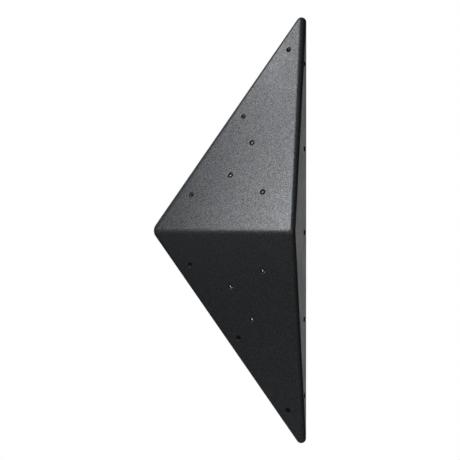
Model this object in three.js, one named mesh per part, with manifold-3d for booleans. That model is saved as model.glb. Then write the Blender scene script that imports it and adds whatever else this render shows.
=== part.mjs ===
// Climbing volume: a tall pyramid with three faces, moulded in glass-fibre laminate and open at
// the back. Wood screws round its base edge hold it on a climbing wall, and climbing holds bolt
// to steel T-nuts that sit on plywood pads inside its two broad faces.
//
// Lengths are in millimetres. The wall is the plane y = 0 and the volume stands out of it
// towards -y. Its long straight side runs up along +z, at the +x end. The origin lies on the
// wall, in the middle of the laminate of the long side, half-way up.

import * as THREE from 'three';
import { ConvexGeometry } from 'three/addons/geometries/ConvexGeometry.js';
import { mergeVertices } from 'three/addons/utils/BufferGeometryUtils.js';
import Module from 'manifold-3d';

// Moulding: overall size over its round corners
const overallHeight = 936;
const overallWidth = 335;
const overallDepth = 190;
const apexInset = 40; // from the long side to the apex
const laminate = 5; // wall thickness

// Moulding: radii inside the hollow. Outside, each one is larger by the laminate.
const tipHollowRadius = 5.8;
const leftHollowRadius = 17;
const ridgeHollowRadius = 4; // ridge from tip to tip, over the apex
const apexBendRadius = 12; // how much softer the ridge to the left corner is at the apex

// Wood screws: a round post inside the moulding carries each one down to the wall
const screwHoleRadius = 3.5;
const postFaceRadius = 13;
const postWallRadius = 10;
const sideScrewTilt = THREE.MathUtils.degToRad(50); // side screws lean out, away from the wall

// Screw cups: pressed steel cones that take the screw heads
const cupRimRadius = 5.3;
const cupRimHeight = 1.2;
const cupBoreRadius = 3.2;
const cupSheet = 0.9;
const cupDepth = 4.6;
const cupSink = 4.5; // how far the rim lies below the face

// Pads: squares of birch plywood, bonded behind the laminate
const padSide = 50;
const padCornerRadius = 6;
const padThickness = 12;

// T-nuts for M10 bolts
const tnutBoreRadius = 4.3;
const tnutBarrelRadius = 5.8;
const tnutBarrelLength = 11;
const tnutChamfer = 0.6;
const tnutFlangeRadius = 13;
const tnutFlangeThickness = 2;
const tnutHoleClearance = 0.3; // round the barrel, in the pad and in the laminate
const tnutScrewHoleRadius = 1.7;
const tnutScrewCircleRadius = 9.4;

// Fits and cuts
const seatGap = 0.3; // between a piece and what it sits on
const cutOverrun = 6; // how far a cut runs past what it cuts

// Places on a face, as shares: the first of the way along its base edge, from the tip of a broad
// face or from the lower tip of the side face, and the second of the way up to the apex
const tnutPlaceShares = [[0.436, 0.283], [0.651, 0.287], [0.556, 0.62]];
const upperScrewPlaceShares = [[0.075, 0.076], [0.423, 0.076], [0.829, 0.083]];
const lowerScrewPlaceShares = [[0.079, 0.077], [0.461, 0.074], [0.839, 0.084]];
const sideScrewAlongShares = [0.048, 0.258, 0.496, 0.725, 0.957];
const sideScrewRiseShare = 0.13;

// Fineness of the round forms, in steps
const ballSides = 28;
const ballRings = 7;
const apexBalls = 5;
const postSides = 20;
const cupSides = 20;
const tnutSides = 24;
const tnutScrewHoles = 3;
const padCornerSteps = 4;

const laminateFinish = new THREE.MeshStandardMaterial({ color: 0x2b2d30, roughness: 0.6 });
const plywoodFinish = new THREE.MeshStandardMaterial({ color: 0xb58a58, roughness: 0.8 });
const zincFinish = new THREE.MeshStandardMaterial({ color: 0xb9bcc0, roughness: 0.35, metalness: 1 });
const steelFinish = new THREE.MeshStandardMaterial({ color: 0x8e9195, roughness: 0.4, metalness: 1 });

const wasm = await Module();
wasm.setup();

// Joining and cutting

function toSolid(geometry) {
  const bare = geometry.clone();
  bare.deleteAttribute('normal');
  bare.deleteAttribute('uv');
  const merged = mergeVertices(bare);
  const index = merged.index.array;
  const corners = [];
  for (let i = 0; i < index.length; i += 3) {
    const [a, b, c] = [index[i], index[i + 1], index[i + 2]];
    // A profile that meets the axis gives triangles without area there
    if (a !== b && b !== c && c !== a) corners.push(a, b, c);
  }
  return new wasm.Manifold(new wasm.Mesh({
    numProp: 3,
    vertProperties: new Float32Array(merged.attributes.position.array),
    triVerts: new Uint32Array(corners),
  }));
}

function toGeometry(solid) {
  const { vertProperties, triVerts } = solid.getMesh();
  const geometry = new THREE.BufferGeometry();
  geometry.setAttribute('position', new THREE.BufferAttribute(vertProperties, 3));
  geometry.setIndex(new THREE.BufferAttribute(triVerts, 1));
  geometry.computeVertexNormals();
  return geometry;
}

// A solid of revolution about +z. The profile holds [radius, height] pairs, counter-clockwise.
function revolve(profile, sides) {
  const closed = [...profile, profile[0]];
  const points = closed.map(([radius, height]) => new THREE.Vector2(radius, height));
  return new THREE.LatheGeometry(points, sides).rotateX(Math.PI / 2);
}

function makePiece(name, geometry, finish) {
  const piece = new THREE.Mesh(geometry, finish);
  piece.name = name;
  return piece;
}

// Form of the moulding: a skin stretched over balls, one in each corner of the base and a bent
// row of them under the apex. The hollow is the same skin, with every ball smaller by the wall.

const longSideX = laminate / 2;
const tipRadius = tipHollowRadius + laminate;
const leftRadius = leftHollowRadius + laminate;
const ridgeRadius = ridgeHollowRadius + laminate;
const tipZ = overallHeight / 2 - tipRadius;

const topBall = { centre: new THREE.Vector3(longSideX - tipRadius, 0, tipZ), radius: tipRadius };
const bottomBall = { centre: new THREE.Vector3(longSideX - tipRadius, 0, -tipZ), radius: tipRadius };
const leftBall = {
  centre: new THREE.Vector3(longSideX - overallWidth + leftRadius, 0, 0),
  radius: leftRadius,
};
const baseBalls = [topBall, bottomBall, leftBall];
const apexRow = makeApexRow();

// The row bends across the ridge to the left corner, from one broad face to the other, so that
// this ridge is softer than the one that runs over the tips.
function makeApexRow() {
  const middle = new THREE.Vector3(longSideX - apexInset, -(overallDepth - ridgeRadius), 0);
  const alongRidge = middle.clone().sub(leftBall.centre).normalize();
  const outOfRidge = new THREE.Vector3(alongRidge.y, -alongRidge.x, 0);
  const toTip = topBall.centre.clone().sub(leftBall.centre);
  const halfAngle = Math.atan2(-toTip.dot(outOfRidge), toTip.z);
  const row = [];
  for (let i = 0; i < apexBalls; i += 1) {
    const angle = halfAngle * (2 * i / (apexBalls - 1) - 1);
    const centre = middle.clone();
    centre.addScaledVector(outOfRidge, -apexBendRadius * (1 - Math.cos(angle)));
    centre.z += apexBendRadius * Math.sin(angle);
    row.push({ centre, radius: ridgeRadius });
  }
  return row;
}

// The outward normal of the plane that touches three balls, which run counter-clockwise when
// seen from outside
function touchingNormal(first, second, third) {
  const a = second.centre.clone().sub(first.centre);
  const b = third.centre.clone().sub(first.centre);
  const normal = a.clone().cross(b);
  const area = normal.length();
  normal.divideScalar(area);
  const lean = b.clone().cross(normal).multiplyScalar((first.radius - second.radius) / area);
  lean.addScaledVector(normal.clone().cross(a), (first.radius - third.radius) / area);
  return lean.addScaledVector(normal, Math.sqrt(1 - lean.lengthSq()));
}

// A flat face of the moulding rests on two balls of the base and on that ball of the row which
// leaves all the others behind the face.
function makeFace(first, second) {
  const faces = apexRow.map((apexBall) => {
    const normal = touchingNormal(first, second, apexBall);
    const reach = (ball) => ball.centre.dot(normal) + ball.radius;
    const overhang = Math.max(...apexRow.map(reach)) - reach(first);
    const touch = (ball) => ball.centre.clone().addScaledVector(normal, ball.radius);
    return { normal, overhang, first: touch(first), second: touch(second), apex: touch(apexBall) };
  });
  return faces.reduce((best, face) => (face.overhang < best.overhang ? face : best));
}

const upperFace = makeFace(topBall, leftBall);
const lowerFace = makeFace(leftBall, bottomBall);
const sideFace = makeFace(bottomBall, topBall);
const faces = [upperFace, lowerFace, sideFace];

// Points on the half of a ball that looks away from the wall, and where the flat faces touch it
function ballPoints({ centre, radius }) {
  const points = faces.map(({ normal }) => centre.clone().addScaledVector(normal, radius));
  for (let ring = 0; ring <= ballRings; ring += 1) {
    const rise = (Math.PI / 2) * (ring / ballRings);
    for (let side = 0; side < ballSides; side += 1) {
      const turn = 2 * Math.PI * (side / ballSides);
      const across = radius * Math.cos(rise);
      const out = -radius * Math.sin(rise);
      const step = new THREE.Vector3(across * Math.cos(turn), out, across * Math.sin(turn));
      points.push(centre.clone().add(step));
    }
  }
  return points;
}

// The skin over all the balls, each smaller by the inset, carried on past the wall by the overrun
function stretchSkin(inset, overrun) {
  const shrink = ({ centre, radius }) => ({ centre, radius: radius - inset });
  const baseSkin = baseBalls.map(shrink).flatMap(ballPoints);
  const apexSkin = apexRow.map(shrink).flatMap(ballPoints);
  const backSkin = baseSkin.map((point) => new THREE.Vector3(point.x, overrun, point.z));
  return toSolid(new ConvexGeometry([...baseSkin, ...apexSkin, ...backSkin]));
}

// A place on a face: its matrix puts +z along the face's outward normal and +x along its base edge
function facePlace(face, alongShare, riseShare) {
  const edge = face.second.clone().sub(face.first);
  const point = face.first.clone().addScaledVector(edge, alongShare).lerp(face.apex, riseShare);
  const across = edge.normalize();
  const up = face.normal.clone().cross(across);
  return new THREE.Matrix4().makeBasis(across, up, face.normal).setPosition(point);
}

// Screw holes, posts and cups

const broadScrewSink = cupSink;
const sideScrewSink = cupSink + cupRimRadius * Math.tan(sideScrewTilt);

// A broad face is drilled square to its surface
const broadScrewSites = [
  ...upperScrewPlaceShares.map(([along, rise], i) => ({
    name: `upper_screw_cup_${i + 1}`,
    place: facePlace(upperFace, along, rise),
    sink: broadScrewSink,
  })),
  ...lowerScrewPlaceShares.map(([along, rise], i) => ({
    name: `lower_screw_cup_${i + 1}`,
    place: facePlace(lowerFace, 1 - along, rise),
    sink: broadScrewSink,
  })),
];

// The side face is so steep that its screws go in aslant, to reach the wall
const sideScrewLean = new THREE.Matrix4().makeRotationX(-sideScrewTilt);
const sideScrewSites = sideScrewAlongShares.map((along, i) => ({
  name: `side_screw_cup_${i + 1}`,
  place: facePlace(sideFace, along, sideScrewRiseShare).multiply(sideScrewLean),
  sink: sideScrewSink,
}));

const screwSites = [...broadScrewSites, ...sideScrewSites];

// How far the wall lies below a place, along its own axis
function depthToWall(place) {
  const point = new THREE.Vector3().setFromMatrixPosition(place);
  const axis = new THREE.Vector3().setFromMatrixColumn(place, 2);
  return point.y / axis.y;
}

function makePost({ place }) {
  const depth = depthToWall(place);
  const length = depth + 2 * cutOverrun + 2 * postWallRadius;
  const profile = [
    [0, cutOverrun - length],
    [postWallRadius, cutOverrun - length],
    [postWallRadius, -depth],
    [postFaceRadius, 0],
    [postFaceRadius, cutOverrun + postFaceRadius],
    [0, cutOverrun + postFaceRadius],
  ];
  return toSolid(revolve(profile, postSides).applyMatrix4(place));
}

// The hole for the screw, its wider seat for the cup, and the mouth above that
function makeScrewHole({ place, sink }) {
  const through = depthToWall(place) + cutOverrun + 2 * postWallRadius;
  const mouthRadius = cupRimRadius + seatGap;
  const seatRadius = cupBoreRadius + cupSheet + seatGap;
  const profile = [
    [0, -through],
    [screwHoleRadius, -through],
    [screwHoleRadius, -(sink + cupDepth + seatGap)],
    [seatRadius, -(sink + cupDepth + seatGap)],
    [mouthRadius, -(sink + cupRimHeight)],
    [mouthRadius, cutOverrun + mouthRadius],
    [0, cutOverrun + mouthRadius],
  ];
  return toSolid(revolve(profile, cupSides).applyMatrix4(place));
}

// The cup: a rim, and a cone of even sheet that narrows to the bore
function makeScrewCup({ name, place, sink }) {
  const profile = [
    [cupBoreRadius, -cupDepth],
    [cupBoreRadius + cupSheet, -cupDepth],
    [cupRimRadius, -cupRimHeight],
    [cupRimRadius, 0],
    [cupRimRadius - cupSheet, 0],
    [cupRimRadius - cupSheet, -cupRimHeight],
    [cupBoreRadius, -(cupDepth - cupSheet)],
  ];
  const cup = makePiece(name, revolve(profile, cupSides).translate(0, 0, -sink), steelFinish);
  cup.applyMatrix4(place);
  return cup;
}

// T-nuts and their pads

const tnutHoleRadius = tnutBarrelRadius + tnutHoleClearance;
const padTop = -(laminate + seatGap);
const flangeTop = padTop - padThickness - seatGap;

const tnutSites = tnutPlaceShares.flatMap(([along, rise], i) => [
  { side: 'upper', number: i + 1, place: facePlace(upperFace, along, rise) },
  { side: 'lower', number: i + 1, place: facePlace(lowerFace, 1 - along, rise) },
]);

function makeTnutHole({ place }) {
  const profile = [
    [0, -(laminate + cutOverrun)],
    [tnutHoleRadius, -(laminate + cutOverrun)],
    [tnutHoleRadius, cutOverrun],
    [0, cutOverrun],
  ];
  return toSolid(revolve(profile, tnutSides).applyMatrix4(place));
}

function makePad({ side, number, place }) {
  const half = padSide / 2;
  const straight = half - padCornerRadius;
  const outline = new THREE.Shape();
  outline.moveTo(half, -straight);
  outline.absarc(straight, straight, padCornerRadius, 0, Math.PI / 2);
  outline.absarc(-straight, straight, padCornerRadius, Math.PI / 2, Math.PI);
  outline.absarc(-straight, -straight, padCornerRadius, Math.PI, Math.PI * 1.5);
  outline.absarc(straight, -straight, padCornerRadius, Math.PI * 1.5, Math.PI * 2);
  const board = new THREE.ExtrudeGeometry(outline, {
    depth: padThickness,
    curveSegments: padCornerSteps,
    bevelEnabled: false,
  });
  const hole = revolve([
    [0, -cutOverrun],
    [tnutHoleRadius, -cutOverrun],
    [tnutHoleRadius, padThickness + cutOverrun],
    [0, padThickness + cutOverrun],
  ], tnutSides);
  const geometry = toGeometry(toSolid(board).subtract(toSolid(hole)));
  geometry.translate(0, 0, padTop - padThickness);
  const pad = makePiece(`${side}_pad_${number}`, geometry, plywoodFinish);
  pad.applyMatrix4(place);
  return pad;
}

// The T-nut: a threaded barrel that points at the hold, on a flange with three screw holes
function makeTnut({ side, number, place }) {
  const profile = [
    [tnutBoreRadius, -tnutFlangeThickness],
    [tnutFlangeRadius, -tnutFlangeThickness],
    [tnutFlangeRadius, 0],
    [tnutBarrelRadius, 0],
    [tnutBarrelRadius, tnutBarrelLength - tnutChamfer],
    [tnutBarrelRadius - tnutChamfer, tnutBarrelLength],
    [tnutBoreRadius, tnutBarrelLength],
  ];
  let solid = toSolid(revolve(profile, tnutSides));
  for (let i = 0; i < tnutScrewHoles; i += 1) {
    const turn = 2 * Math.PI * (i / tnutScrewHoles);
    const hole = revolve([
      [0, -(tnutFlangeThickness + cutOverrun)],
      [tnutScrewHoleRadius, -(tnutFlangeThickness + cutOverrun)],
      [tnutScrewHoleRadius, cutOverrun],
      [0, cutOverrun],
    ], tnutSides / 2);
    hole.translate(tnutScrewCircleRadius * Math.cos(turn), tnutScrewCircleRadius * Math.sin(turn), 0);
    solid = solid.subtract(toSolid(hole));
  }
  const geometry = toGeometry(solid).translate(0, 0, flangeTop);
  const tnut = makePiece(`${side}_tnut_${number}`, geometry, zincFinish);
  tnut.applyMatrix4(place);
  return tnut;
}

// The moulding: the outer skin less the hollow, with the posts kept inside it, then drilled
function makeShell() {
  const outer = stretchSkin(0, 0);
  const hollow = stretchSkin(laminate, cutOverrun);
  let solid = outer.subtract(hollow);
  for (const site of screwSites) solid = solid.add(makePost(site).intersect(outer));
  for (const site of screwSites) solid = solid.subtract(makeScrewHole(site));
  for (const site of tnutSites) solid = solid.subtract(makeTnutHole(site));
  return makePiece('moulded_shell', toGeometry(solid), laminateFinish);
}

const volume = new THREE.Group();
volume.add(makeShell());
for (const site of screwSites) volume.add(makeScrewCup(site));
for (const site of tnutSites) {
  volume.add(makePad(site));
  volume.add(makeTnut(site));
}

export default volume;
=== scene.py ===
# %% [markdown]
# # A moulded climbing volume
# A climbing volume is a hollow body that is screwed to a climbing wall, and climbing holds are
# bolted to it. This one is a tall pyramid with three faces, laid up in glass fibre in a mould.
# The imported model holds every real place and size. This script dresses it: it models the
# moulding again with finer curves, adds threads, screws and resin, and gives each piece the
# finish of the real one.

import math

import bpy
from mathutils import Matrix, Vector


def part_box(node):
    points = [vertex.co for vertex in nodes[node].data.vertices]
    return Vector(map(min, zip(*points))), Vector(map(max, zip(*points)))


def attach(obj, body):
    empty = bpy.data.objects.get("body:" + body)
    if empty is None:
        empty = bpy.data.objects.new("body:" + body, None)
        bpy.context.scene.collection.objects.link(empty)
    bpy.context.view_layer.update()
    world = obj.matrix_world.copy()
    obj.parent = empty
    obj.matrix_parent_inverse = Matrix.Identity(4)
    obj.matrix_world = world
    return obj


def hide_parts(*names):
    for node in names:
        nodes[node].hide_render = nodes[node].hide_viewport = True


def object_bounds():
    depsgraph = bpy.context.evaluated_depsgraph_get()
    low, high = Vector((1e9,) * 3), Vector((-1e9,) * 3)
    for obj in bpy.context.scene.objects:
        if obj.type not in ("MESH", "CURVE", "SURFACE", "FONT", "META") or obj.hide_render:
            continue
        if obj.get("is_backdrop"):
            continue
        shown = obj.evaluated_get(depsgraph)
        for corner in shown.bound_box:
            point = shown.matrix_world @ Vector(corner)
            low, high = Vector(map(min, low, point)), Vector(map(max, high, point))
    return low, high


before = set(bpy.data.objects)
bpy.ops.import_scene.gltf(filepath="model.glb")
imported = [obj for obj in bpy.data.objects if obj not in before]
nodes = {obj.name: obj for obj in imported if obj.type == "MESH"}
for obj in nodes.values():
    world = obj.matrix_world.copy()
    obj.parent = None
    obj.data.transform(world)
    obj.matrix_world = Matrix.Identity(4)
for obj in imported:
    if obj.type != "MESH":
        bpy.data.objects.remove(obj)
bpy.context.view_layer.update()
cad_low, cad_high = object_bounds()
print(f"{len(nodes)} nodes in a box of {[round(side, 3) for side in cad_high - cad_low]} m")

# %% [markdown]
# ## Camera
# The picture is taken level and square to the wall, from far off, with a long lens. That keeps
# the outline almost as a drawing shows it. The lens follows from two real sizes: how far off
# the camera stands and how much of the wall plane the square picture holds. Only the lens and
# the sensor are in millimetres, as Blender wants them.

# %% Camera
CAMERA_DISTANCE = 3.5
CAMERA_HEIGHT = 0.05
AIM_HEIGHT = 0.0014
PICTURE_SIDE = 1.011
SENSOR_WIDTH = 36.0

camera_x = (cad_low.x + cad_high.x) / 2
dip = math.atan((CAMERA_HEIGHT - AIM_HEIGHT) / CAMERA_DISTANCE)
bpy.ops.object.camera_add(
    location=(camera_x, -CAMERA_DISTANCE, CAMERA_HEIGHT),
    rotation=(math.radians(90) - dip, 0, 0),
)
camera = bpy.context.object
camera.data.sensor_width = SENSOR_WIDTH
camera.data.lens = SENSOR_WIDTH * CAMERA_DISTANCE / PICTURE_SIDE
bpy.context.scene.camera = camera
print(f"lens of {camera.data.lens:.1f} mm")

# %% [markdown]
# ## Node helpers
# Materials and the world are node trees. Written out in full they are long and hard to read,
# so one helper adds a node, sets its options and fills its inputs. An input is either a value
# or the output of another node, and then it is linked. The other helpers add the few kinds of
# nodes that every finish uses: noise, sums, blends of two colours, and bumps.

# %% Node helpers
MM = 0.001
NOISE_SPAN = (0.3, 0.7)


def add_node(tree, kind, inputs=None, **options):
    made = tree.nodes.new(kind)
    for option, value in options.items():
        setattr(made, option, value)
    for key, value in (inputs or {}).items():
        if isinstance(value, bpy.types.NodeSocket):
            tree.links.new(value, made.inputs[key])
        else:
            made.inputs[key].default_value = value
    return made


def add_noise(tree, place, scale, detail=2.0, roughness=0.5):
    return add_node(tree, "ShaderNodeTexNoise", {
        "Vector": place, "Scale": scale, "Detail": detail, "Roughness": roughness,
    }).outputs["Fac"]


def calculate(tree, operation, *values):
    inputs = dict(enumerate(values))
    return add_node(tree, "ShaderNodeMath", inputs, operation=operation).outputs[0]


def stretch(tree, value, span, wanted=(0.0, 1.0)):
    """Carries the values of one span over to the wanted span, and keeps them inside it."""
    return add_node(tree, "ShaderNodeMapRange", {
        "Value": value, "From Min": span[0], "From Max": span[1],
        "To Min": wanted[0], "To Max": wanted[1],
    }).outputs["Result"]


def blend(tree, share, shades):
    inputs = {0: share, 6: (*shades[0], 1), 7: (*shades[1], 1)}
    return add_node(tree, "ShaderNodeMix", inputs, data_type="RGBA").outputs[2]


def add_bump(tree, height, strength, depth, **others):
    inputs = {"Strength": strength, "Distance": depth, "Height": height, **others}
    return add_node(tree, "ShaderNodeBump", inputs).outputs["Normal"]


def find_place(tree):
    """Where each point is on the real object."""
    return add_node(tree, "ShaderNodeTexCoord").outputs["Object"]


def find_made_at(tree):
    """Where each point was when its piece was made, upright at the origin."""
    return add_node(tree, "ShaderNodeAttribute", attribute_name="made_at").outputs["Vector"]


def start_finish(name):
    finish = bpy.data.materials.new(name)
    finish.use_nodes = True
    tree = finish.node_tree
    return finish, tree, tree.nodes["Principled BSDF"]


def join_nodes(tree, shader, **sockets):
    for name, value in sockets.items():
        tree.links.new(value, shader.inputs[name.replace("_", " ")])


# %% [markdown]
# ## World
# The picture has a plain white background. How bright the room round the camera was isn't
# known, so this studio is a guess: white straight behind the object and dark everywhere else.
# Only the camera's own rays see white on all sides. Mirrored rays see the studio, because a
# gel coat that mirrors white all round would look far too pale. The white behind gives the
# steep side face its grey sheen, while the ridge that looks at the camera stays dark.

# %% World
BACKGROUND_LEVEL = 1.0
ROOM_LEVEL = 0.05
BACKGROUND_EDGE = 0.79

world = bpy.data.worlds.new("studio")
bpy.context.scene.world = world
bpy.context.scene.view_settings.view_transform = "Standard"
world.use_nodes = True
tree = world.node_tree
tree.nodes.clear()
direction = add_node(tree, "ShaderNodeTexCoord").outputs["Generated"]
towards_back = add_node(tree, "ShaderNodeSeparateXYZ", {0: direction}).outputs["Y"]
room = add_node(tree, "ShaderNodeMapRange", {
    "Value": towards_back,
    "From Min": BACKGROUND_EDGE,
    "From Max": 1.0,
    "To Min": ROOM_LEVEL,
    "To Max": BACKGROUND_LEVEL,
}, interpolation_type="SMOOTHSTEP").outputs["Result"]
seen_by_camera = add_node(tree, "ShaderNodeLightPath").outputs["Is Camera Ray"]
level = add_node(tree, "ShaderNodeMix", {
    0: seen_by_camera, 2: room, 3: BACKGROUND_LEVEL,
}).outputs[0]
backdrop = add_node(tree, "ShaderNodeBackground", {"Color": (1, 1, 1, 1), "Strength": level})
add_node(tree, "ShaderNodeOutputWorld", {"Surface": backdrop.outputs[0]})

# %% [markdown]
# ## Lamps and floor
# Three small soft lamps hang in a row up on the left, close to the wall. The upper broad face
# mirrors them as one long soft streak that is brightest near the apex, and so the face shows
# light although the gel coat is nearly black. The lower broad face looks away from them. One
# large, weak lamp stands in front, a little to the right, where the mouths of the T-nuts
# mirror it: that is the bright spot in each bolt hole. The places and strengths of the row
# come from a fit, not from a known studio: trial lamps were rendered one at a time, and the
# mix that came nearest to the picture's tones was kept, with small changes. So the
# light isn't even. A matt grey object gets about 1.8 times the plain level on its upper face,
# 0.7 times on its lower face and almost nothing on the steep one. The floor is pale and lies
# well below, where it holds the object's soft shadow.

# %% Lamps and floor
DAYLIGHT = (0.975, 1.0, 1.032)
LAMP_AIM = Vector((-0.12, -0.1, 0.1))
ROW_LAMP_SIDE = 0.22
FRONT_LAMP_SIDE = 0.9
LAMPS = (
    ("low_lamp", (-0.642, -0.451, 0.289), ROW_LAMP_SIDE, 11.0),
    ("main_lamp", (-0.503, -0.475, 0.436), ROW_LAMP_SIDE, 24.4),
    ("high_lamp", (-0.596, -0.227, 0.877), ROW_LAMP_SIDE, 28.1),
    ("front_lamp", (0.1, -1.89, 0.05), FRONT_LAMP_SIDE, 3.0),
)
PAPER_WHITE = (0.8, 0.8, 0.79, 1)
PAPER_ROUGHNESS = 0.8


def add_soft_lamp(name, place, side, radiance):
    bpy.ops.object.light_add(type="AREA", location=place)
    lamp = bpy.context.object
    lamp.name = name
    lamp.data.shape = "SQUARE"
    lamp.data.size = side
    lamp.data.energy = radiance * math.pi * side * side
    lamp.data.color = DAYLIGHT
    towards_face = LAMP_AIM - Vector(place)
    lamp.rotation_euler = towards_face.to_track_quat("-Z", "Y").to_euler()


for name, place, side, radiance in LAMPS:
    add_soft_lamp(name, place, side, radiance)

FLOOR_DROP = 0.9
FLOOR_SIDE = 1.8
bpy.ops.mesh.primitive_plane_add(size=FLOOR_SIDE, location=(camera_x, 0, -FLOOR_DROP))
floor = bpy.context.object
floor.name = "floor"
paper = bpy.data.materials.new("floor_paper")
paper.use_nodes = True
paper_shader = paper.node_tree.nodes["Principled BSDF"]
paper_shader.inputs["Base Color"].default_value = PAPER_WHITE
paper_shader.inputs["Roughness"].default_value = PAPER_ROUGHNESS
floor.data.materials.append(paper)
floor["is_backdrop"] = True

# %% [markdown]
# ## The three flat faces
# Holes and pieces sit square to the faces of the moulding, so the faces come first. They are
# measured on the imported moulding: triangles that face away from the wall are sorted by the
# way they point, and the three largest groups are the three flats.

# %% Measure the flat faces
def measure_flats(node, count):
    groups = {}
    for triangle in node.data.polygons:
        if triangle.normal.y < 0:
            key = tuple(round(part, 2) for part in triangle.normal)
            area, summed, reach = groups.get(key, (0, Vector(), 0))
            area += triangle.area
            summed = summed + triangle.normal * triangle.area
            reach += triangle.center.dot(triangle.normal) * triangle.area
            groups[key] = (area, summed, reach)
    largest = sorted(groups.values(), key=lambda group: group[0], reverse=True)[:count]
    return [(summed.normalized(), reach / area) for area, summed, reach in largest]


flats = measure_flats(nodes["moulded_shell"], 3)
side_flat = max(flats, key=lambda flat: flat[0].x)
upper_flat = max(flats, key=lambda flat: flat[0].z)
lower_flat = min(flats, key=lambda flat: flat[0].z)
for name, (normal, reach) in zip(("upper", "lower", "side"), (upper_flat, lower_flat, side_flat)):
    print(name, "face points", [round(part, 3) for part in normal], "reach", round(reach, 4))

# %% [markdown]
# ## Where the turned pieces sit
# A T-nut or a screw cup is round, so its axis runs through the middle of its outline as seen
# along the axis. Measured like this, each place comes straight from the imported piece. The
# screws of the steep side face lean out by a fixed tilt, so that they still reach the wall.

# %% Measure the places
SIDE_SCREW_TILT = math.radians(50)
OFF_THE_WALL = Vector((0, -1, 0))


def face_directions(normal):
    along = normal.cross(-OFF_THE_WALL).normalized()
    return along, normal.cross(along)


def measure_place(node, axis, along):
    """The place of a piece: its z axis points out of the face, from the piece's near end."""
    across = axis.cross(along)
    points = [vertex.co for vertex in node.data.vertices]
    reaches = [[point.dot(way) for point in points] for way in (along, across, axis)]
    middle_along = (min(reaches[0]) + max(reaches[0])) / 2
    middle_across = (min(reaches[1]) + max(reaches[1])) / 2
    top = max(reaches[2])
    origin = along * middle_along + across * middle_across + axis * top
    place = Matrix((along, across, axis)).transposed().to_4x4()
    place.translation = origin
    return place


def find_flat(name):
    return {"upper": upper_flat, "lower": lower_flat, "side": side_flat}[name.split("_")[0]]


def measure_axis(name):
    """The way a piece points, and a level way square to it."""
    normal = find_flat(name)[0]
    along, up = face_directions(normal)
    if name.startswith("side"):
        lean = up if up.y < 0 else -up
        return normal * math.cos(SIDE_SCREW_TILT) + lean * math.sin(SIDE_SCREW_TILT), along
    return normal, along


def measure_sink(name):
    """How far a piece's near end lies below the face, along its own axis."""
    normal, reach = find_flat(name)
    axis = places[name].to_3x3() @ Vector((0, 0, 1))
    return (reach - places[name].translation.dot(normal)) / axis.dot(normal)


tnut_names = sorted(name for name in nodes if "tnut" in name)
pad_names = sorted(name for name in nodes if "pad" in name)
cup_names = sorted(name for name in nodes if "screw_cup" in name)
places = {}
for name in tnut_names + pad_names + cup_names:
    places[name] = measure_place(nodes[name], *measure_axis(name))
for name in (tnut_names[0], pad_names[0], cup_names[0], cup_names[-1]):
    print(name, "lies", round(measure_sink(name) / MM, 2), "mm below its face")

# %% [markdown]
# ## Modelling helpers
# Turned pieces are drawn ring by ring, as on a lathe: a circle is extruded to the height of
# the next ring and resized to its radius. A piece that is bored starts from an open circle,
# and its last ring closes on its first. Each piece is made at the origin, upright, and keeps
# a note of that place in an attribute, which its finish can follow. Then it is moved into
# its place, and the place is applied to the mesh.

# %% Modelling helpers
MERGE_DISTANCE = 0.0005 * MM


def select_only(*pieces):
    bpy.ops.object.select_all(action="DESELECT")
    for piece in pieces:
        piece.select_set(True)
    bpy.context.view_layer.objects.active = pieces[0]


def open_mesh(piece, kind, wanted):
    """Opens the piece's mesh for modelling, with only the wanted faces or edges selected."""
    select_only(piece)
    bpy.ops.object.mode_set(mode="EDIT")
    bpy.ops.mesh.select_mode(type=kind)
    bpy.ops.mesh.select_all(action="DESELECT")
    bpy.ops.object.mode_set(mode="OBJECT")
    for part in piece.data.polygons if kind == "FACE" else piece.data.edges:
        part.select = wanted(part)
    bpy.ops.object.mode_set(mode="EDIT")


def turn_piece(name, rings, sides, bored=False):
    bpy.ops.object.select_all(action="DESELECT")
    radius, height = rings[0]
    bpy.ops.mesh.primitive_circle_add(
        vertices=sides, radius=radius, fill_type="NOTHING" if bored else "NGON",
    )
    piece = bpy.context.object
    piece.name = name
    bpy.ops.object.mode_set(mode="EDIT")
    bpy.ops.mesh.select_mode(type="VERT")
    bpy.ops.mesh.select_all(action="SELECT")
    bpy.ops.transform.translate(value=(0, 0, height))
    for next_radius, next_height in rings[1:] + rings[:1] * bored:
        rise = (0, 0, next_height - height)
        bpy.ops.mesh.extrude_region_move(TRANSFORM_OT_translate={"value": rise})
        share = next_radius / radius
        bpy.ops.transform.resize(value=(share, share, 1), center_override=(0, 0, 0))
        radius, height = next_radius, next_height
    bpy.ops.mesh.select_all(action="SELECT")
    bpy.ops.mesh.remove_doubles(threshold=MERGE_DISTANCE)
    bpy.ops.mesh.normals_make_consistent(inside=False)
    bpy.ops.object.mode_set(mode="OBJECT")
    return piece


def join_pieces(name, pieces):
    select_only(*pieces)
    bpy.ops.object.join()
    joined = bpy.context.object
    joined.name = name
    return joined


def apply_place(piece, place):
    piece.matrix_world = place
    select_only(piece)
    bpy.ops.object.transform_apply(location=True, rotation=True, scale=True)
    return piece


def cut_away(piece, tool):
    select_only(piece)
    bpy.ops.object.modifier_add(type="BOOLEAN")
    cut = piece.modifiers[-1]
    cut.operation = "DIFFERENCE"
    cut.solver = "MANIFOLD"
    cut.material_mode = "TRANSFER"
    cut.object = tool
    bpy.ops.object.modifier_apply(modifier=cut.name)
    bpy.data.objects.remove(tool)


def smooth_piece(piece, angle):
    select_only(piece)
    bpy.ops.object.shade_smooth_by_angle(angle=math.radians(angle))
    bpy.ops.object.modifier_add(type="WEIGHTED_NORMAL")
    weighted = piece.modifiers[-1]
    weighted.keep_sharp = True
    bpy.ops.object.modifier_apply(modifier=weighted.name)


def note_place(piece):
    note = piece.data.attributes.new("made_at", "FLOAT_VECTOR", "POINT")
    for vertex in piece.data.vertices:
        note.data[vertex.index].vector = vertex.co


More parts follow.
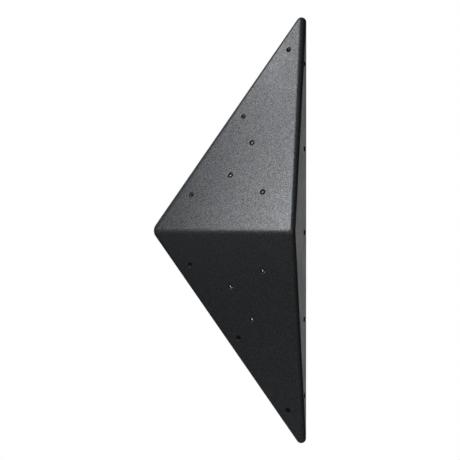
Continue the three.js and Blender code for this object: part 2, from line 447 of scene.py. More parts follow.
def spread_copies(master, wanted):
    """Puts a copy of the piece, with its own mesh, in each wanted place."""
    note_place(master)
    copies = []
    for name, place in wanted.items():
        select_only(master)
        bpy.ops.object.duplicate(linked=False)
        copy = bpy.context.object
        copy.name = name
        copies.append(apply_place(copy, place))
    bpy.data.objects.remove(master)
    return copies


def report_mesh(name, piece):
    """Says how large the mesh is, and how many of its edges don't join two faces."""
    uses = {}
    for face in piece.data.polygons:
        for edge in face.edge_keys:
            uses[edge] = uses.get(edge, 0) + 1
    open_edges = sum(use != 2 for use in uses.values())
    print(name, "of", len(piece.data.polygons), "faces,", open_edges, "open edges")


# %% [markdown]
# ## Gel coat
# The outside of the moulding is gel coat, a pigmented resin that is sprayed into the mould
# first. The mould is sand-blasted, so the coat comes out with the texture of fine sandpaper,
# which gives climbers friction. The texture is far too fine to model, so it is a bump:
# rounded grains on faint lumps, with broken noise between them. Much of the grit lies below
# the bump's reach, so the strength of the sheen changes from grain to grain too, and the
# roughness and the colour change a little.

# %% Gel coat
GRAIN_SCALE = 750.0
GRIT_SCALE = 560.0
BREAK_SCALE = 420.0
LUMP_SCALE = 300.0
PATCH_SCALE = 14.0
GRIT_SPAN = (0.35, 0.65)
GEL_SHADES = ((0.012, 0.0130, 0.0142), (0.021, 0.0226, 0.0246))
GEL_ROUGHNESS = (0.40, 0.46)
GEL_SHEEN = (0.06, 0.94)


def make_gel_coat():
    finish, tree, shader = start_finish("gel_coat")
    place = find_place(tree)
    grains = add_node(tree, "ShaderNodeTexVoronoi", {"Vector": place, "Scale": GRAIN_SCALE})
    broken = add_noise(tree, place, BREAK_SCALE, detail=5.0, roughness=0.7)
    patches = add_noise(tree, place, PATCH_SCALE, detail=3.0, roughness=0.6)
    grit = add_noise(tree, place, GRIT_SCALE)
    lumps = add_noise(tree, place, LUMP_SCALE)
    height = calculate(tree, "MULTIPLY_ADD", grains.outputs["Distance"], -0.5, broken)
    uneven = add_bump(tree, lumps, strength=0.12, depth=1.0 * MM)
    bump = add_bump(tree, height, strength=0.35, depth=0.5 * MM, Normal=uneven)
    colour = blend(tree, stretch(tree, broken, GRIT_SPAN), GEL_SHADES)
    gloss = stretch(tree, patches, NOISE_SPAN, GEL_ROUGHNESS)
    sheen = stretch(tree, grit, GRIT_SPAN, GEL_SHEEN)
    join_nodes(
        tree, shader, Base_Color=colour, Roughness=gloss, Specular_IOR_Level=sheen, Normal=bump,
    )
    return finish


gel_coat = make_gel_coat()
print("finish", gel_coat.name)

# %% [markdown]
# ## Raw laminate
# Inside, the moulding shows what it is made of: short glass fibres lie in all directions in a
# clear resin, over the dark gel coat. Four layers of thin stretched noise, each turned
# another way, make the fibres. The resin is glossy and lies in soft waves.

# %% Raw laminate
FIBRE_TURNS = (12, 57, 101, 148)
FIBRE_SCALES = (22, 700, 900)
FIBRE_SPAN = (0.56, 0.68)
WAVE_SCALE = 45.0
RAW_SHADES = ((0.030, 0.034, 0.030), (0.17, 0.18, 0.14))
RAW_ROUGHNESS = (0.22, 0.45)


def lay_fibres(tree, place, turn):
    laid = add_node(tree, "ShaderNodeMapping", {
        "Vector": place,
        "Rotation": (math.radians(turn / 3), math.radians(turn), 0),
        "Scale": FIBRE_SCALES,
    }).outputs["Vector"]
    return stretch(tree, add_noise(tree, laid, 1.0, detail=1.0, roughness=0.4), FIBRE_SPAN)


def make_raw_laminate():
    finish, tree, shader = start_finish("raw_laminate")
    place = find_place(tree)
    fibres = lay_fibres(tree, place, FIBRE_TURNS[0])
    for turn in FIBRE_TURNS[1:]:
        fibres = calculate(tree, "MAXIMUM", fibres, lay_fibres(tree, place, turn))
    waves = add_noise(tree, place, WAVE_SCALE, detail=3.0)
    resin_thins = stretch(tree, waves, (0.35, 0.7), (0.25, 0.9))
    shown = calculate(tree, "MULTIPLY", fibres, resin_thins)
    colour = blend(tree, shown, RAW_SHADES)
    height = calculate(tree, "MULTIPLY_ADD", fibres, 0.25, waves)
    bump = add_bump(tree, height, strength=0.6, depth=1.0 * MM)
    gloss = stretch(tree, shown, (0.0, 1.0), RAW_ROUGHNESS)
    join_nodes(tree, shader, Base_Color=colour, Roughness=gloss, Normal=bump)
    return finish


raw_laminate = make_raw_laminate()
print("finish", raw_laminate.name)

# %% [markdown]
# ## Cut laminate
# The rim and the ends of the posts are ground flat. There the laminate is matt and shows its
# section: glass bundles as short pale dashes in a dull greenish resin.

# %% Cut laminate
DASH_SCALE = 500.0
CUT_SHADES = ((0.024, 0.027, 0.024), (0.085, 0.088, 0.072))
CUT_ROUGHNESS = (0.7, 0.85)


def make_cut_laminate():
    finish, tree, shader = start_finish("cut_laminate")
    dashes = add_noise(tree, find_place(tree), DASH_SCALE, detail=4.0, roughness=0.65)
    colour = blend(tree, stretch(tree, dashes, (0.42, 0.62)), CUT_SHADES)
    gloss = stretch(tree, dashes, NOISE_SPAN, CUT_ROUGHNESS)
    bump = add_bump(tree, dashes, strength=0.5, depth=0.3 * MM)
    join_nodes(tree, shader, Base_Color=colour, Roughness=gloss, Normal=bump)
    return finish


cut_laminate = make_cut_laminate()
print("finish", cut_laminate.name)

# %% [markdown]
# ## The moulding: skins
# The outside of the moulding is flat faces that flow into each other over round ridges and
# corners. It could be a beveled pyramid, but bevels of different widths meet badly in a
# corner. So balls are put where the roundness is: one in each corner of the base, and a bent
# row of them under the apex. A convex hull stretches a skin over all of them, and a cut along
# the wall plane opens it. The hollow is the same skin over balls that are smaller by the
# thickness of the laminate.

# %% Skins
LAMINATE = 5 * MM
TIP_RADIUS = 10.8 * MM
LEFT_RADIUS = 22 * MM
RIDGE_RADIUS = 9 * MM
APEX_INSET = 40 * MM
APEX_BEND = 12 * MM
APEX_BALLS = 9
BALL_SIDES = 72
BALL_RINGS = 35
CUT_OVERRUN = 6 * MM

low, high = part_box("moulded_shell")
left_centre = Vector((low.x + LEFT_RADIUS, 0, 0))
top_centre = Vector((high.x - TIP_RADIUS, 0, high.z - TIP_RADIUS))
bottom_centre = Vector((high.x - TIP_RADIUS, 0, low.z + TIP_RADIUS))
apex_centre = Vector((high.x - APEX_INSET, low.y + RIDGE_RADIUS, 0))
balls = [(left_centre, LEFT_RADIUS), (top_centre, TIP_RADIUS), (bottom_centre, TIP_RADIUS)]

up_the_ridge = (apex_centre - left_centre).normalized()
out_of_ridge = Vector((up_the_ridge.y, -up_the_ridge.x, 0))
half_bend = math.asin(upper_flat[0].z)
for step in range(APEX_BALLS):
    bend = half_bend * (2 * step / (APEX_BALLS - 1) - 1)
    centre = apex_centre - out_of_ridge * APEX_BEND * (1 - math.cos(bend))
    centre.z += APEX_BEND * math.sin(bend)
    balls.append((centre, RIDGE_RADIUS))


def stretch_skin(name, inset, overrun, finish):
    spheres = []
    for centre, radius in balls:
        bpy.ops.mesh.primitive_uv_sphere_add(
            segments=BALL_SIDES, ring_count=BALL_RINGS, radius=radius - inset,
            location=centre, rotation=(math.radians(90), 0, 0),
        )
        spheres.append(bpy.context.object)
    skin = join_pieces(name, spheres)
    bpy.ops.object.transform_apply(location=True, rotation=True, scale=True)
    bpy.ops.object.mode_set(mode="EDIT")
    bpy.ops.mesh.select_all(action="SELECT")
    bpy.ops.mesh.convex_hull(join_triangles=False)
    bpy.ops.mesh.select_all(action="SELECT")
    bpy.ops.mesh.bisect(
        plane_co=(0, 0, 0), plane_no=-OFF_THE_WALL, use_fill=True, clear_outer=True,
    )
    if overrun:
        bpy.ops.mesh.extrude_region_move(TRANSFORM_OT_translate={"value": (0, overrun, 0)})
    bpy.ops.mesh.select_all(action="SELECT")
    bpy.ops.mesh.remove_doubles(threshold=MERGE_DISTANCE)
    bpy.ops.mesh.normals_make_consistent(inside=False)
    bpy.ops.object.mode_set(mode="OBJECT")
    skin.data.materials.clear()
    skin.data.materials.append(finish)
    return skin


moulding = stretch_skin("moulding", 0, 0, gel_coat)
hollow = stretch_skin("hollow", LAMINATE, CUT_OVERRUN, raw_laminate)
report_mesh("outer skin", moulding)
report_mesh("hollow", hollow)

# %% [markdown]
# ## The moulding: posts
# A screw would crush a thin laminate, so a round post stands under each screw hole and
# carries the screw's pull down to the wall. The posts are turned as cones and taken out of
# the hollow, before the hollow is taken out of the moulding. That way no two faces of the
# cuts lie in one plane, which is where a boolean cut goes wrong.

# %% Posts
POST_FACE_RADIUS = 13 * MM
POST_WALL_RADIUS = 10 * MM
POST_SIDES = 64


def measure_depth(place):
    """How far the wall lies below a place, along its own axis."""
    axis = place.to_3x3() @ Vector((0, 0, 1))
    return place.translation.y / axis.y


for name in cup_names:
    depth = measure_depth(places[name])
    sink = measure_sink(name)
    rings = [
        (POST_WALL_RADIUS, -depth - CUT_OVERRUN - 2 * POST_WALL_RADIUS),
        (POST_WALL_RADIUS, -depth),
        (POST_FACE_RADIUS, sink),
        (POST_FACE_RADIUS, sink + CUT_OVERRUN + POST_FACE_RADIUS),
    ]
    cut_away(hollow, apply_place(turn_piece("post", rings, POST_SIDES), places[name]))
report_mesh("hollow", hollow)
cut_away(moulding, hollow)
report_mesh("moulding", moulding)

# %% [markdown]
# ## The moulding: holes
# The screw holes step down in width: a mouth for the rim of the screw cup, a seat for the
# cup and a through hole for the screw. The bolt holes are plain and as wide as the barrel of
# a T-nut needs. All of them are formed by pins in the mould, so gel coat lines them and their
# edges are a little round. The holes of the steep face are opened further up the face, for
# the screwdriver. That opening is a guess, which lets them show as notches from the front.
# The two end ones have less room for it.

# %% Holes
CUP_RIM_HEIGHT = 1.2 * MM
CUP_DEPTH = 4.6 * MM
CUP_RIM_RADIUS = 5.3 * MM
CUP_BORE_RADIUS = 3.2 * MM
CUP_SHEET = 0.9 * MM
SEAT_GAP = 0.3 * MM
SCREW_HOLE_RADIUS = 3.5 * MM
TNUT_HOLE_RADIUS = 6.1 * MM
EDGE_BREAK = 0.9 * MM
CLEAR_OF_FACE = 0.02 * MM
RELIEF_START = 2 * MM
RELIEF_LENGTH = 50 * MM
WIDE_RELIEF = math.radians(18)
NARROW_RELIEF = math.radians(9)
HOLE_SIDES = 64


def flare_mouth(radius, face):
    """The last rings of a drill: a quarter round that breaks the edge of the gel coat.
    It ends a hair above the face, because a ring that lies in the face spoils the cut."""
    rings = []
    face += CLEAR_OF_FACE
    for angle in (0, 30, 60, 90):
        turn = math.radians(angle)
        rings.append((
            radius + EDGE_BREAK * (1 - math.cos(turn)),
            face - EDGE_BREAK * (1 - math.sin(turn)),
        ))
    return rings


def drill_screw_hole(name):
    place = places[name]
    sink = measure_sink(name)
    mouth = CUP_RIM_RADIUS + SEAT_GAP
    rings = [
        (SCREW_HOLE_RADIUS, -measure_depth(place) - CUT_OVERRUN - 2 * POST_WALL_RADIUS),
        (SCREW_HOLE_RADIUS, -CUP_DEPTH - SEAT_GAP),
        (CUP_BORE_RADIUS + CUP_SHEET + SEAT_GAP, -CUP_DEPTH - SEAT_GAP),
        (mouth, -CUP_RIM_HEIGHT),
    ]
    if name.startswith("side"):
        rings += [(mouth, sink + CUT_OVERRUN + mouth)]
    else:
        rings += flare_mouth(mouth, sink)
        rings += [(mouth + EDGE_BREAK, sink + CUT_OVERRUN)]
    return apply_place(turn_piece("drill", rings, HOLE_SIDES), place)


def drill_bolt_hole(name):
    sink = measure_sink(name)
    rings = [(TNUT_HOLE_RADIUS, sink - LAMINATE - CUT_OVERRUN)]
    rings += flare_mouth(TNUT_HOLE_RADIUS, sink)
    rings += [(TNUT_HOLE_RADIUS + EDGE_BREAK, sink + CUT_OVERRUN)]
    return apply_place(turn_piece("drill", rings, HOLE_SIDES), places[name])


def drill_relief(name, tilt):
    """A flatter cut that opens a side hole up the face, where the screwdriver comes in."""
    mouth = CUP_RIM_RADIUS + SEAT_GAP
    rings = [(mouth, RELIEF_START), (mouth, RELIEF_LENGTH)]
    flatter = Matrix.Rotation(-tilt, 4, "X")
    return apply_place(turn_piece("relief", rings, HOLE_SIDES), places[name] @ flatter)


side_cups = [name for name in cup_names if name.startswith("side")]
for name in cup_names:
    cut_away(moulding, drill_screw_hole(name))
for name in side_cups:
    at_an_end = name in (side_cups[0], side_cups[-1])
    cut_away(moulding, drill_relief(name, NARROW_RELIEF if at_an_end else WIDE_RELIEF))
for name in tnut_names:
    cut_away(moulding, drill_bolt_hole(name))
report_mesh("moulding", moulding)

# %% [markdown]
# ## The moulding: ground rim
# The edge and the posts that lie on the wall are ground flat, which bares the laminate in
# section. Those faces are picked by their place in the wall plane and get the finish of cut
# laminate.

# %% Ground rim
ON_THE_WALL = 0.01 * MM

rim = [
    face for face in moulding.data.polygons
    if abs(face.center.y) < ON_THE_WALL and face.normal.y > 0.99
]
moulding.data.materials.append(cut_laminate)
for face in rim:
    face.material_index = len(moulding.data.materials) - 1
print("rim of", len(rim), "faces, finishes", [slot.name for slot in moulding.data.materials])
smooth_piece(moulding, 25)
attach(moulding, "root")
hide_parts("moulded_shell")

# %% [markdown]
# ## Metal finishes
# T-nuts and their screws are plated with bright zinc, which is a little cloudy and shows a
# faint crystal pattern. The bores of the T-nuts get a nearly black steel finish, which is
# painted shade for the deep, narrow bore. The screw cups are pressed steel with a dull skin,
# and they are painted darker still, as painted shade for their deep seats. So both are far
# darker than clean steel, and the holes look black.

# %% Metal finishes
ZINC_SHADES = ((0.50, 0.52, 0.54), (0.70, 0.71, 0.72))
# The cup shades are partly a dull pressed skin and partly painted shade for the deep seats.
CUP_SKIN_AND_SHADE = ((0.08, 0.08, 0.08), (0.17, 0.17, 0.165))
# The bore shades are painted shade for the deep, narrow bore, not the colour of the steel.
PAINTED_BORE_SHADE = ((0.03, 0.029, 0.028), (0.07, 0.068, 0.065))


def make_metal(name, shades, roughness, crystal_scale):
    finish, tree, shader = start_finish(name)
    place = find_made_at(tree)
    crystals = add_node(tree, "ShaderNodeTexVoronoi", {"Vector": place, "Scale": crystal_scale})
    crystal = add_node(tree, "ShaderNodeSeparateColor", {0: crystals.outputs["Color"]}).outputs[0]
    cloud = add_noise(tree, place, crystal_scale * 0.3, detail=4.0, roughness=0.6)
    mixed = calculate(tree, "MULTIPLY_ADD", crystal, 0.4, cloud)
    colour = blend(tree, stretch(tree, mixed, (0.4, 1.0)), shades)
    gloss = stretch(tree, cloud, NOISE_SPAN, (roughness * 0.75, roughness * 1.25))
    pits = add_noise(tree, place, crystal_scale * 2)
    bump = add_bump(tree, pits, strength=0.25, depth=0.1 * MM)
    shader.inputs["Metallic"].default_value = 1.0
    join_nodes(tree, shader, Base_Color=colour, Roughness=gloss, Normal=bump)
    return finish


bright_zinc = make_metal("bright_zinc", ZINC_SHADES, 0.28, 700.0)
pressed_steel = make_metal("pressed_steel", CUP_SKIN_AND_SHADE, 0.5, 500.0)
bore_shade_steel = make_metal("bore_shade_steel", PAINTED_BORE_SHADE, 0.4, 600.0)
print("finishes", bright_zinc.name, pressed_steel.name, bore_shade_steel.name)

# %% [markdown]
# ## T-nuts
# A T-nut is a threaded barrel with a wide flange. The flange bears on the back of the pad,
# so the pull of a hold's bolt presses pad and laminate together. It is turned on a lathe here,
# with a soft corner where the barrel meets the flange and a wide lead-in at both ends of the
# bore. The thread is cut last: a small diamond outline climbs the bore as a helix, one pitch
# per turn, and is taken out of the barrel.

# %% T-nuts
TNUT_BORE_RADIUS = 4.3 * MM
TNUT_BARREL_RADIUS = 5.8 * MM
TNUT_BARREL_LENGTH = 11 * MM
TNUT_FLANGE_RADIUS = 13 * MM
TNUT_FLANGE_THICKNESS = 2 * MM
TNUT_CHAMFER = 0.2 * MM
TNUT_LEAD_IN = 1.2 * MM
TNUT_CORNER = 0.4 * MM
TNUT_SIDES = 64
THREAD_PITCH = 1.5 * MM
THREAD_ROOT_RADIUS = 5.0 * MM
THREAD_DEPTH = 0.9 * MM
THREAD_HALF_WIDTH = 0.7 * MM
THREAD_TURNS = 12
THREAD_STEPS = 48
FLANGE_HOLE_RADIUS = 1.7 * MM
FLANGE_HOLE_CIRCLE = 9.4 * MM
FLANGE_HOLES = 3


def paint_bore_shade(piece):
    """Gives the bore and its threads a nearly black finish, as painted shade for the deep bore."""
    piece.data.materials.append(bore_shade_steel)
    for face in piece.data.polygons:
        in_bore = flange_bottom + TNUT_LEAD_IN < face.center.z < -TNUT_LEAD_IN
        if in_bore and face.center.xy.length < THREAD_ROOT_RADIUS:
            face.material_index = 1


def turn_thread_cutter(bottom):
    bpy.ops.object.select_all(action="DESELECT")
    bpy.ops.mesh.primitive_circle_add(
        vertices=4, radius=1, fill_type="NOTHING", rotation=(math.radians(90), 0, 0),
    )
    cutter = bpy.context.object
    bpy.ops.object.transform_apply(location=True, rotation=True, scale=True)
    bpy.ops.object.mode_set(mode="EDIT")
    bpy.ops.mesh.select_mode(type="VERT")
    bpy.ops.mesh.select_all(action="SELECT")
    bpy.ops.transform.resize(value=(THREAD_DEPTH, 1, THREAD_HALF_WIDTH), center_override=(0, 0, 0))
    bpy.ops.transform.translate(value=(THREAD_ROOT_RADIUS - THREAD_DEPTH, 0, bottom))
    bpy.ops.object.mode_set(mode="OBJECT")
    bpy.ops.object.modifier_add(type="SCREW")
    helix = cutter.modifiers[-1]
    helix.screw_offset = THREAD_PITCH
    helix.iterations = THREAD_TURNS
    helix.steps = THREAD_STEPS
    helix.render_steps = THREAD_STEPS
    bpy.ops.object.modifier_apply(modifier=helix.name)
    bpy.ops.object.mode_set(mode="EDIT")
    bpy.ops.mesh.select_all(action="SELECT")
    bpy.ops.mesh.fill_holes(sides=0)
    bpy.ops.mesh.select_all(action="SELECT")
    bpy.ops.mesh.normals_make_consistent(inside=False)
    bpy.ops.object.mode_set(mode="OBJECT")
    return cutter


def turn_flange_drill(turn, radius):
    reach = TNUT_FLANGE_THICKNESS + CUT_OVERRUN
    drill = turn_piece("drill", [(radius, -reach), (radius, CUT_OVERRUN)], TNUT_SIDES // 2)
    shift = Vector((math.cos(turn), math.sin(turn), 0)) * FLANGE_HOLE_CIRCLE
    return apply_place(drill, Matrix.Translation(shift - Vector((0, 0, TNUT_BARREL_LENGTH))))


flange_turns = [2 * math.pi * number / FLANGE_HOLES for number in range(FLANGE_HOLES)]
flange_top = -TNUT_BARREL_LENGTH
flange_bottom = flange_top - TNUT_FLANGE_THICKNESS
tnut = turn_piece("tnut", [
    (TNUT_BORE_RADIUS + TNUT_LEAD_IN, flange_bottom),
    (TNUT_FLANGE_RADIUS - TNUT_CORNER, flange_bottom),
    (TNUT_FLANGE_RADIUS - TNUT_CORNER / 4, flange_bottom + TNUT_CORNER / 4),
    (TNUT_FLANGE_RADIUS, flange_bottom + TNUT_CORNER),
    (TNUT_FLANGE_RADIUS, flange_top - TNUT_CORNER),
    (TNUT_FLANGE_RADIUS - TNUT_CORNER / 4, flange_top - TNUT_CORNER / 4),
    (TNUT_FLANGE_RADIUS - TNUT_CORNER, flange_top),
    (TNUT_BARREL_RADIUS + TNUT_CORNER, flange_top),
    (TNUT_BARREL_RADIUS + TNUT_CORNER / 4, flange_top + TNUT_CORNER / 4),
    (TNUT_BARREL_RADIUS, flange_top + TNUT_CORNER),
    (TNUT_BARREL_RADIUS, -TNUT_CHAMFER),
    (TNUT_BARREL_RADIUS - TNUT_CHAMFER, 0),
    (TNUT_BORE_RADIUS + TNUT_LEAD_IN, 0),
    (TNUT_BORE_RADIUS, -TNUT_LEAD_IN),
    (TNUT_BORE_RADIUS, flange_bottom + TNUT_LEAD_IN),
], TNUT_SIDES, bored=True)
tnut.data.materials.append(bright_zinc)
for turn in flange_turns:
    cut_away(tnut, turn_flange_drill(turn, FLANGE_HOLE_RADIUS))
cut_away(tnut, turn_thread_cutter(flange_bottom - THREAD_PITCH))
# The bore and its threads get the painted shade.
paint_bore_shade(tnut)
smooth_piece(tnut, 30)
report_mesh("T-nut", tnut)
for piece in spread_copies(tnut, {f"threaded_{name}": places[name] for name in tnut_names}):
    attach(piece, "root")
    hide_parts(piece.name.removeprefix("threaded_"))

# %% [markdown]
# ## Flange screws
# Three small pan-head wood screws hold each T-nut, so that it doesn't turn or drop out when
# a bolt is driven in. The head is domed and has a cross recess. The recess is cut with two
# tapered blades. One screw is modelled, and a copy goes through each hole of each flange.

# %% Flange screws
SCREW_SHANK_RADIUS = 1.45 * MM
SCREW_HEAD_RADIUS = 2.8 * MM
SCREW_LENGTH = 10 * MM
RECESS_LENGTH = 3.0 * MM
RECESS_WIDTH = 0.75 * MM
RECESS_DEPTH = 1.3 * MM
RECESS_TAPER = 0.45
HEAD_HEIGHT = 1.9 * MM
SCREW_SIDES = 32


def make_blade(turned):
    bpy.ops.object.select_all(action="DESELECT")
    bpy.ops.mesh.primitive_cube_add(
        size=1, scale=(RECESS_LENGTH, RECESS_WIDTH, 2 * RECESS_DEPTH),
        location=(0, 0, HEAD_HEIGHT), rotation=(0, 0, turned),
    )
    blade = bpy.context.object
    bpy.ops.object.transform_apply(location=True, rotation=True, scale=True)
    open_mesh(blade, "FACE", lambda face: face.normal.z < -0.5)
    bpy.ops.transform.resize(
        value=(RECESS_TAPER, RECESS_TAPER, 1), center_override=(0, 0, HEAD_HEIGHT - RECESS_DEPTH),
    )
    bpy.ops.object.mode_set(mode="OBJECT")
    return blade


screw = turn_piece("screw", [
    (0.3 * MM, -SCREW_LENGTH),
    (SCREW_SHANK_RADIUS, -0.75 * SCREW_LENGTH),
    (SCREW_SHANK_RADIUS, 0),
    (SCREW_HEAD_RADIUS - 0.1 * MM, 0),
    (SCREW_HEAD_RADIUS, 0.15 * MM),
    (SCREW_HEAD_RADIUS, 0.7 * MM),
    (SCREW_HEAD_RADIUS - 0.2 * MM, 1.2 * MM),
    (SCREW_HEAD_RADIUS - 0.7 * MM, 1.6 * MM),
    (SCREW_HEAD_RADIUS - 1.6 * MM, 1.85 * MM),
    (0.4 * MM, HEAD_HEIGHT),
], SCREW_SIDES)
screw.data.materials.append(bright_zinc)
for turned in (0, math.radians(90)):
    cut_away(screw, make_blade(turned))
smooth_piece(screw, 35)
report_mesh("screw", screw)
screw_places = {}
for name in tnut_names:
    for number, turn in enumerate(flange_turns, 1):
        shift = Vector((math.cos(turn), math.sin(turn), 0)) * FLANGE_HOLE_CIRCLE
        under_flange = Matrix.Translation(shift + Vector((0, 0, flange_bottom)))
        driven = Matrix.Rotation(math.radians(180), 4, "X") @ Matrix.Rotation(number, 4, "Z")
        screw_places[f"flange_screw_{name}_{number}"] = places[name] @ under_flange @ driven
for piece in spread_copies(screw, screw_places):
    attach(piece, "root")
print(len(screw_places), "screws")

# %% [markdown]
# ## Screw cups
# A screw cup spreads the pressure of a countersunk head. It is pressed from sheet steel, so
# it has the same thickness all over, a cone in the middle and a rolled lip. The outline below
# goes once round the sheet: up the outside, over the lip and down the inside.

# %% Screw cups
CUP_SIDES = 64
cup_bottom_radius = CUP_BORE_RADIUS + CUP_SHEET
cup_mouth_radius = CUP_RIM_RADIUS - CUP_SHEET
cup = turn_piece("cup", [
    (cup_bottom_radius, -CUP_DEPTH),
    (CUP_RIM_RADIUS, -CUP_RIM_HEIGHT),
    (CUP_RIM_RADIUS, -0.35 * CUP_SHEET),
    (CUP_RIM_RADIUS - 0.1 * CUP_SHEET, -0.1 * CUP_SHEET),
    (CUP_RIM_RADIUS - 0.35 * CUP_SHEET, 0),
    (cup_mouth_radius + 0.35 * CUP_SHEET, 0),
    (cup_mouth_radius + 0.1 * CUP_SHEET, -0.1 * CUP_SHEET),
    (cup_mouth_radius, -0.35 * CUP_SHEET),
    (cup_mouth_radius, -CUP_RIM_HEIGHT),
    (CUP_BORE_RADIUS, -CUP_DEPTH + CUP_SHEET),
    (CUP_BORE_RADIUS, -CUP_DEPTH + 0.15 * CUP_SHEET),
    (CUP_BORE_RADIUS + 0.15 * CUP_SHEET, -CUP_DEPTH),
], CUP_SIDES, bored=True)
# The dark cup finish is partly painted shade for the deep seats.
cup.data.materials.append(pressed_steel)
smooth_piece(cup, 30)
report_mesh("cup", cup)
for piece in spread_copies(cup, {f"pressed_{name}": places[name] for name in cup_names}):
    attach(piece, "root")
    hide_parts(piece.name.removeprefix("pressed_"))

# %% [markdown]
# ## Plywood finish
# The pads are birch plywood. Its layers are glued with the grain turned by a quarter each
# time, so the sawn sides show light and dark stripes, and the faces show long fine grain.
# The finish reads the upright place of each point, so it follows each tilted pad.

# %% Plywood finish
PLY_THICKNESS = 1.35 * MM
ALONG_GRAIN = (40, 900, 500)
ACROSS_GRAIN = (900, 40, 500)
FIGURE_SCALE = 60.0
LONG_GRAIN_SHADES = ((0.42, 0.25, 0.115), (0.63, 0.43, 0.23))
END_GRAIN_SHADES = ((0.24, 0.125, 0.05), (0.38, 0.22, 0.10))
PLY_ROUGHNESS = (0.55, 0.75)


def make_plywood():
    finish, tree, shader = start_finish("birch_plywood")
    place = find_made_at(tree)
    height = add_node(tree, "ShaderNodeSeparateXYZ", {0: place}).outputs["Z"]
    layer = calculate(tree, "DIVIDE", height, PLY_THICKNESS)
    pair = calculate(tree, "FRACT", calculate(tree, "MULTIPLY", layer, 0.5))
    crossed = calculate(tree, "GREATER_THAN", pair, 0.5)
    ways = [
        add_node(tree, "ShaderNodeMapping", {"Vector": place, "Scale": scales}).outputs[0]
        for scales in (ALONG_GRAIN, ACROSS_GRAIN)
    ]
    way = add_node(tree, "ShaderNodeMix", {
        0: crossed, 4: ways[0], 5: ways[1],
    }, data_type="VECTOR").outputs[1]
    grain = add_noise(tree, way, 1.0, detail=5.0, roughness=0.6)
    figure = add_noise(tree, place, FIGURE_SCALE)
    tone = calculate(tree, "MULTIPLY_ADD", figure, 0.5, grain)
    share = stretch(tree, tone, (0.5, 1.0))
    colour = add_node(tree, "ShaderNodeMix", {
        0: crossed,
        6: blend(tree, share, LONG_GRAIN_SHADES),
        7: blend(tree, share, END_GRAIN_SHADES),
    }, data_type="RGBA").outputs[2]
    gloss = stretch(tree, grain, NOISE_SPAN, PLY_ROUGHNESS)
    bump = add_bump(tree, grain, strength=0.4, depth=0.3 * MM)
    join_nodes(tree, shader, Base_Color=colour, Roughness=gloss, Normal=bump)
    return finish


birch_plywood = make_plywood()
print("finish", birch_plywood.name)

# %% [markdown]
# ## Bond resin
# The resin that holds the pads is thickened with powder, so it is dull and keeps the strokes
# of the spatula.

# %% Bond resin
STROKE_SCALE = 160.0
RESIN_SHADES = ((0.045, 0.050, 0.042), (0.10, 0.105, 0.085))
RESIN_ROUGHNESS = (0.28, 0.42)


def make_bond_resin():
    finish, tree, shader = start_finish("bond_resin")
    strokes = add_noise(tree, find_made_at(tree), STROKE_SCALE, detail=4.0, roughness=0.6)
    colour = blend(tree, strokes, RESIN_SHADES)
    gloss = stretch(tree, strokes, NOISE_SPAN, RESIN_ROUGHNESS)
    bump = add_bump(tree, strokes, strength=0.7, depth=0.8 * MM)
    join_nodes(tree, shader, Base_Color=colour, Roughness=gloss, Normal=bump)
    return finish


bond_resin = make_bond_resin()
print("finish", bond_resin.name)

# %% [markdown]
# ## Plywood pads
# Each pad is a square of plywood with round corners, sanded edges and a hole for the barrel.
# It starts as a cube of its real size. Its four upright edges get a wide bevel, then its rims
# a narrow one, and the hole is bored through. The bore is sealed with the dark resin.

# %% Plywood pads
PAD_SIDE = 50 * MM
PAD_THICKNESS = 12 * MM
PAD_CORNER = 6 * MM
PAD_EDGE = 0.6 * MM


def make_slab(name, side, top, thickness, corner):
    bpy.ops.object.select_all(action="DESELECT")
    bpy.ops.mesh.primitive_cube_add(
        size=1, scale=(side, side, thickness), location=(0, 0, top - thickness / 2),
    )
    slab = bpy.context.object
    slab.name = name
    bpy.ops.object.transform_apply(location=True, rotation=True, scale=True)
    heights = [vertex.co.z for vertex in slab.data.vertices]
    open_mesh(slab, "EDGE", lambda edge: heights[edge.vertices[0]] != heights[edge.vertices[1]])
    bpy.ops.mesh.bevel(offset=corner, segments=10, affect="EDGES")
    bpy.ops.object.mode_set(mode="OBJECT")
    return slab


def break_rims(piece, width):
    for upward in (1, -1):
        open_mesh(piece, "FACE", lambda face: face.normal.z * upward > 0.99)
        bpy.ops.mesh.region_to_loop()
        bpy.ops.mesh.bevel(offset=width, segments=3, affect="EDGES")
        bpy.ops.object.mode_set(mode="OBJECT")


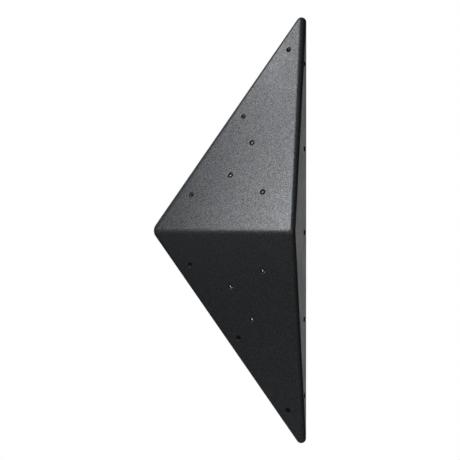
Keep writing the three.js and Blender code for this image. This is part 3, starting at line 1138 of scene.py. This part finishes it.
pad = make_slab("pad", PAD_SIDE, 0, PAD_THICKNESS, PAD_CORNER)
break_rims(pad, PAD_EDGE)
pad.data.materials.append(birch_plywood)
pad_drill = turn_piece("drill", [
    (TNUT_HOLE_RADIUS, -PAD_THICKNESS - CUT_OVERRUN), (TNUT_HOLE_RADIUS, CUT_OVERRUN),
], HOLE_SIDES)
pad_drill.data.materials.append(bond_resin)
cut_away(pad, pad_drill)
smooth_piece(pad, 30)
report_mesh("pad", pad)
for piece in spread_copies(pad, {f"sanded_{name}": places[name] for name in pad_names}):
    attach(piece, "root")
    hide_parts(piece.name.removeprefix("sanded_"))

# %% [markdown]
# ## Resin bond
# The pads are bedded in thickened resin, which is drawn into a fillet round each pad with a
# spatula. The fillet starts as a slab, wider than the pad. Its face on the laminate stays
# wide, its far face is drawn in to the pad, and the pad's own room is taken out.

# %% Resin bond
BOND_WIDTH = 5 * MM
BOND_HEIGHT = 5 * MM
BOND_LAP = 0.25 * MM
BOND_STEPS = 4

bond = make_slab("bond", PAD_SIDE + 2 * BOND_WIDTH, SEAT_GAP, SEAT_GAP, PAD_CORNER + BOND_WIDTH)
bond.data.materials.append(bond_resin)
open_mesh(bond, "FACE", lambda face: face.normal.z < -0.99)
width = PAD_SIDE + 2 * BOND_WIDTH
height = 0
for step in range(1, BOND_STEPS + 1):
    turn = math.radians(90) * step / BOND_STEPS
    next_width = PAD_SIDE + 2 * BOND_WIDTH * (1 - math.sin(turn))
    next_height = -BOND_HEIGHT * (1 - math.cos(turn))
    bpy.ops.mesh.extrude_region_move(TRANSFORM_OT_translate={"value": (0, 0, next_height - height)})
    share = next_width / width
    bpy.ops.transform.resize(value=(share, share, 1), center_override=(0, 0, 0))
    width, height = next_width, next_height
bpy.ops.object.mode_set(mode="OBJECT")
pad_room = make_slab(
    "room", PAD_SIDE - 2 * BOND_LAP, CUT_OVERRUN, CUT_OVERRUN + PAD_THICKNESS, PAD_CORNER,
)
cut_away(bond, pad_room)
smooth_piece(bond, 40)
report_mesh("bond", bond)
for piece in spread_copies(bond, {f"bond_{name}": places[name] for name in pad_names}):
    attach(piece, "root")

# %% [markdown]
# ## Sizes
# The box of the dressed model is measured here. The box of the imported model was measured
# at the start.

# %% Sizes
bpy.context.view_layer.update()
low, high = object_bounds()
